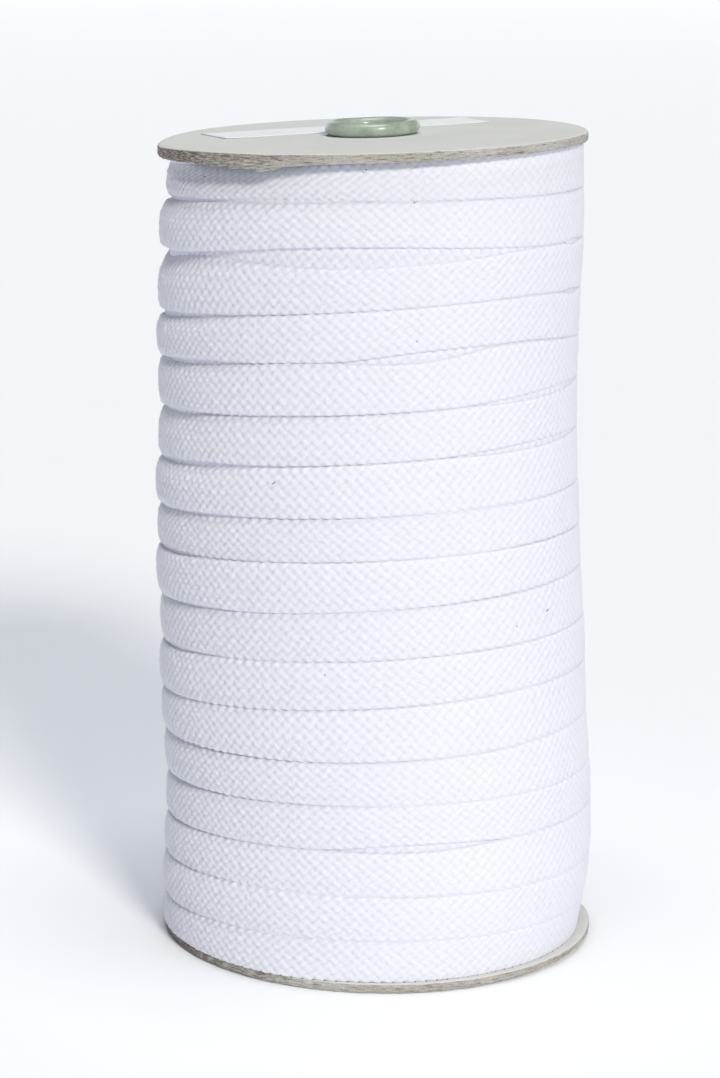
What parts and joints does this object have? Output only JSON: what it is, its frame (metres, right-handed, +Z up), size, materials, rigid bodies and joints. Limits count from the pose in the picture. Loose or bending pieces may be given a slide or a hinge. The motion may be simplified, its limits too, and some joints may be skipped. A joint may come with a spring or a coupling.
{
  "type": "roll of drawstring cord",
  "caption": "Tall roll of flat braided drawstring cord, wound between chipboard discs on a hollow plastic core with a rolled end.",
  "frame": {"origin": "middle of the bounding box, on the surface that the base disc stands on", "axes": "+Z up along the roll, -Y towards the pictured front, +X to the right of it"},
  "size_m": [0.1118, 0.1084, 0.2057],
  "materials": {
    "board": "plain grey chipboard, matt",
    "core_plastic": "sage green, smooth and glossy, slightly mottled",
    "cord": "white braided yarn",
    "label_paper": "smooth white paper, bare"
  },
  "bodies": {
    "root": {"bottom_flange": "board", "top_flange": "board", "core": "core_plastic", "cord_winding": "cord", "label": "label_paper"}
  },
  "joints": []
}
